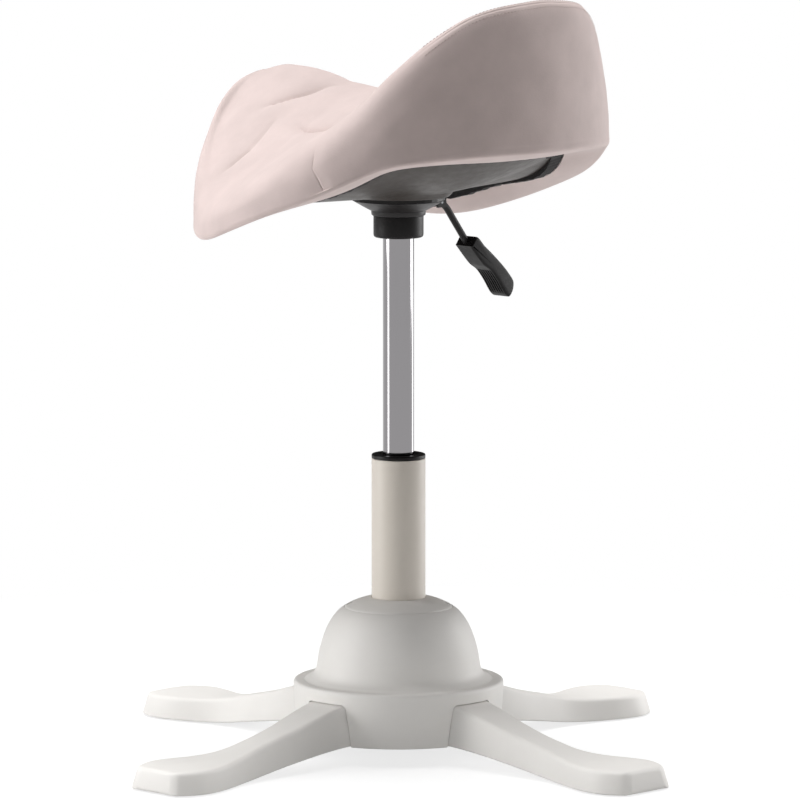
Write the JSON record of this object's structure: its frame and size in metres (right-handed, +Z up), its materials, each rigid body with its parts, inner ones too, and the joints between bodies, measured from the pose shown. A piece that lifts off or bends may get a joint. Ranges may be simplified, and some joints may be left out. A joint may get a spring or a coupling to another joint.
{
  "type": "saddle stool",
  "caption": "Saddle stool: upholstered saddle seat with a high rear on a gas lift column, side release lever, and a four-legged base with a domed hub.",
  "frame": {"origin": "on the floor, on the column axis", "axes": "+Z up, +Y towards the rear of the seat, which is its high side, -X towards the sitter's right, where the lever is"},
  "size_m": [0.6352, 0.6352, 0.7095],
  "materials": {
    "base_coat": "satin warm grey paint",
    "tube_coat": "satin beige grey paint",
    "chrome": "polished",
    "steel": "plain",
    "black_plastic": "matte",
    "dark_plastic": "matte",
    "dark_metal": "matte black paint",
    "shell_plastic": "matte grey",
    "rubber": "matte",
    "wood": "bare plywood",
    "fabric": "soft pale pink grey cover over foam"
  },
  "bodies": {
    "base": {"base_cover": "base_coat", "dome_cap": "base_coat", "cap_screw_1": "dark_metal", "cap_screw_2": "dark_metal", "socket_plate": "steel", "floor_cover": "black_plastic", "leg_left": "base_coat", "leg_rear": "base_coat", "leg_right": "base_coat", "leg_front": "base_coat", "foot_pad_left": "rubber", "foot_pad_rear": "rubber", "foot_pad_right": "rubber", "foot_pad_front": "rubber", "leg_bolt_left_1": "steel", "leg_bolt_left_2": "steel", "leg_bolt_rear_1": "steel", "leg_bolt_rear_2": "steel", "leg_bolt_right_1": "steel", "leg_bolt_right_2": "steel", "leg_bolt_front_1": "steel", "leg_bolt_front_2": "steel", "stand_tube": "tube_coat", "guide_bush": "black_plastic", "lower_washer": "steel", "ball_cage": "steel"},
    "rod": {"upper_washer": "steel", "piston_rod": "steel", "retaining_clip": "steel", "bump_stop": "rubber", "piston": "black_plastic"},
    "seat": {"gas_cylinder": "chrome", "cylinder_seal": "rubber", "column_collar": "black_plastic", "mechanism_bowl": "dark_plastic", "mount_plate": "dark_metal", "lever_bracket": "dark_metal", "lever_pivot_pin": "steel", "under_cover": "shell_plastic", "seat_board": "wood", "edge_strip": "black_plastic", "seat_cushion": "fabric", "seat_bolt_1": "steel", "seat_bolt_2": "steel", "seat_bolt_3": "steel", "seat_bolt_4": "steel", "seat_nut_1": "steel", "seat_nut_2": "steel", "seat_nut_3": "steel", "seat_nut_4": "steel"},
    "lever": {"lever_rod": "dark_metal", "lever_handle": "black_plastic"},
    "valve": {"valve_pin": "steel"}
  },
  "joints": [
    {"name": "seat_swivel", "type": "hinge", "parent": "base", "child": "rod", "pos_m": [0, 0, 0.033], "axis": [0, 0, 1], "continuous": true},
    {"name": "height_lift", "type": "slide", "parent": "rod", "child": "seat", "axis": [0, 0, 1], "range_m": [-0.17, 0]},
    {"name": "lever_pull", "type": "hinge", "parent": "seat", "child": "lever", "pos_m": [-0.052, 0, 0.51], "axis": [0, 1, 0], "range_deg": [0, 4], "stiffness_Nm_per_rad": 2, "springref_deg": -2.86},
    {"name": "valve_press", "type": "slide", "parent": "seat", "child": "valve", "axis": [0, 0, 1], "range_m": [-0.0039, 0]}
  ],
  "couplings": [
    {"joint": "valve_press", "follows": "lever_pull", "m_per_rad": -0.0546}
  ]
}
